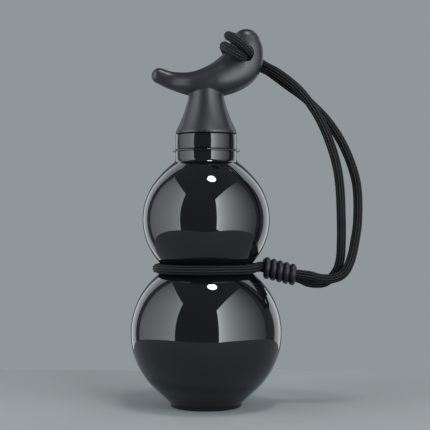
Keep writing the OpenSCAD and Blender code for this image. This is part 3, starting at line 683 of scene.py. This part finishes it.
# Painted highlight on the rib tops and painted shade in the furrows: |sin(row pi)|^4 is 1 on a rib and 0 between ribs.
half_row = add(tree, "ShaderNodeMath", {0: row.outputs[0], 1: math.pi}, operation="MULTIPLY")
ridge = add(tree, "ShaderNodeMath", {0: half_row.outputs[0]}, operation="SINE")
ridge = add(tree, "ShaderNodeMath", {0: ridge.outputs[0]}, operation="ABSOLUTE")
ridge = add(tree, "ShaderNodeMath", {0: ridge.outputs[0], 1: 4.0}, operation="POWER")
# Painted glints on the stitches: the brightness swells from 0.7 to 1 with each stitch.
stitch_glint = add(tree, "ShaderNodeMath", {0: wave.outputs[0], 1: 0.3, 2: 0.7}, operation="MULTIPLY_ADD")
lit = add(tree, "ShaderNodeMath", {0: stitch_glint.outputs[0], 1: ridge.outputs[0]}, operation="MULTIPLY")
# The colour runs from painted shade #020202 in the furrows to painted highlight #353536 on the lit stitches.
tone = add(tree, "ShaderNodeMix", {"Factor": lit.outputs[0], "A": linear("#020202"),
                                   "B": linear("#353536")}, data_type="RGBA")
tree.links.new(tone.outputs[2], shader.inputs["Base Color"])
dress(braid, hitch, strap)

# %% [markdown]
# ## Silicone rubber
# The slider is dip-moulded silicone, smooth and slightly waxy.

# %% Slider and liner
rubber, tree, shader = start_material(
    "moulded_silicone_black", Base_Color=linear("#15181c"), Roughness=0.42, IOR=1.42)
place = add(tree, "ShaderNodeTexCoord")
dust = add(tree, "ShaderNodeTexNoise", {"Vector": place.outputs["Object"], "Scale": 900.0, "Detail": 2.0})
bump = add(tree, "ShaderNodeBump", {"Height": dust.outputs["Fac"], "Strength": 0.1, "Distance": 0.0001})
tree.links.new(bump.outputs["Normal"], shader.inputs["Normal"])
dress(rubber, slider)

pale, tree, shader = start_material(
    "cut_silicone_off_white", Base_Color=linear("#d9d6cf"), Roughness=0.5, IOR=1.42)
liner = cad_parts["seal_liner"]
liner.data.materials.clear()
liner.data.materials.append(pale)
print("liner keeps the model's own disc")

# %% [markdown]
# ## Floor
# One sheet of pale grey paper with round corners lies under the bottle. It ends a forearm's length
# in front of it: the lobes mirror that edge as a level line. Behind the sheet the camera sees a
# plain pale room.

# %% Lay the paper
def paper_sheet(front, back, half_width, radius, count=12):
    """Flat sheet at z = 0 with rounded corners: each corner is a quarter circle of radius."""
    middle = np.array([0, (front + back) / 2])
    reach = np.array([half_width, (back - front) / 2]) - radius
    corners = [[1, 1], [-1, 1], [-1, -1], [1, -1]]
    outline = np.vstack([
        middle + reach * corner + radius * np.stack([np.cos(a), np.sin(a)], -1)
        for corner, a in zip(corners, np.linspace([0, 90, 180, 270], [90, 180, 270, 360], count, axis=1)
                             * math.pi / 180)])
    points = np.c_[outline, np.zeros(len(outline))]
    mesh = bpy.data.meshes.new("paper")
    mesh.from_pydata(points.tolist(), [], [list(range(len(points)))])
    sheet = bpy.data.objects.new("paper", mesh)
    bpy.context.scene.collection.objects.link(sheet)
    return sheet

paper = paper_sheet(-0.30, 0.16, 0.37, 0.22)
paper_grey, tree, shader = start_material("pale_grey_paper", Base_Color=linear("#8f9393"), Roughness=0.95)
place = add(tree, "ShaderNodeTexCoord")
fibre = add(tree, "ShaderNodeTexNoise", {"Vector": place.outputs["Object"], "Scale": 900.0, "Detail": 3.0})
bump = add(tree, "ShaderNodeBump", {"Height": fibre.outputs["Fac"], "Strength": 0.1, "Distance": 0.0001})
tree.links.new(bump.outputs["Normal"], shader.inputs["Normal"])
dress(paper_grey, paper)

# %% [markdown]
# ## Light
# Black gloss shows what stands round it, so the lights are large, dim walls. A wall on each side
# gives the broad grey fields on the lobes, a narrow one behind on each side gives the pale line
# along their outlines, and a small round lamp above gives the white spots.

# %% Build the light walls
def light_wall(name, start, end, bottom, top, near, far, bend=1.0):
    """A flat area lamp from floor point start to floor point end. At share x of its length its
    radiance is far + (near - far) (1 - x)^bend; radiance 1 needs the power pi area."""
    start, end = np.array([*start, 0.0]), np.array([*end, 0.0])
    across = (end - start) / np.linalg.norm(end - start)
    away = np.array([across[1], -across[0], 0.0])
    middle = (start + end) / 2
    if away @ middle < 0:
        away = -away
    lamp = bpy.data.lights.new(name, "AREA")
    lamp.shape, lamp.size, lamp.size_y = "RECTANGLE", float(np.linalg.norm(end - start)), top - bottom
    lamp.energy = math.pi * lamp.size * lamp.size_y
    lamp.color = (0.89, 0.96, 1.0)
    lamp.use_nodes = True
    tree = lamp.node_tree
    place = add(tree, "ShaderNodeNewGeometry")
    axis = add(tree, "ShaderNodeSeparateXYZ", {0: place.outputs["Parametric"]})
    left_over = add(tree, "ShaderNodeMath", {0: 1.0, 1: axis.outputs["X"]}, operation="SUBTRACT")
    fall = add(tree, "ShaderNodeMath", {0: left_over.outputs[0], 1: bend}, operation="POWER")
    level = add(tree, "ShaderNodeMath", {0: fall.outputs[0], 1: near - far, 2: far},
                operation="MULTIPLY_ADD")
    tree.links.new(level.outputs[0], tree.nodes["Emission"].inputs["Strength"])
    up = np.cross(away, across)
    wall = bpy.data.objects.new(name, lamp)
    wall.matrix_world = Matrix(np.vstack([np.c_[across, up, away, middle + [0, 0, (bottom + top) / 2]],
                                          [0, 0, 0, 1]]).tolist())
    wall.visible_camera = False
    bpy.context.scene.collection.objects.link(wall)
    return wall

light_wall("right_wall", (0.39, -1.13), (0.70, 0.12), -0.25, 0.95, 8.4, 0.3, 1.5)
light_wall("left_wall", (-0.79, -0.76), (-0.75, 0.40), -0.25, 1.1, 3.9, 0.6)
light_wall("right_rim", (0.60, 0.40), (0.35, 0.71), -0.6, 1.2, 1.2, 1.5)
light_wall("left_rim", (-0.60, 0.50), (-0.35, 0.71), -0.6, 1.2, 1.0, 1.4)
spot = bpy.data.lights.new("round_lamp", "AREA")
spot.shape, spot.size, spot.energy = "DISK", 0.24, 4.5
lamp = bpy.data.objects.new("round_lamp", spot)
lamp.location = (0.15, -0.27, 1.2)
lamp.rotation_euler = (math.radians(-14), math.radians(8), 0)
bpy.context.scene.collection.objects.link(lamp)

world = bpy.data.worlds.new("dim_room")
world.use_nodes = True
bpy.context.scene.world = world
tree = world.node_tree
room = tree.nodes["Background"]
room.inputs["Color"].default_value = linear("#8d9298")
room.inputs["Strength"].default_value = 0.55
seen = add(tree, "ShaderNodeBackground", {"Color": linear("#8f979a"), "Strength": 1.0})
ray = add(tree, "ShaderNodeLightPath")
either = add(tree, "ShaderNodeMixShader", {
    0: ray.outputs["Is Camera Ray"], 1: room.outputs[0], 2: seen.outputs[0]})
tree.links.new(either.outputs[0], tree.nodes["World Output"].inputs["Surface"])
bpy.context.scene.view_settings.view_transform = "Standard"
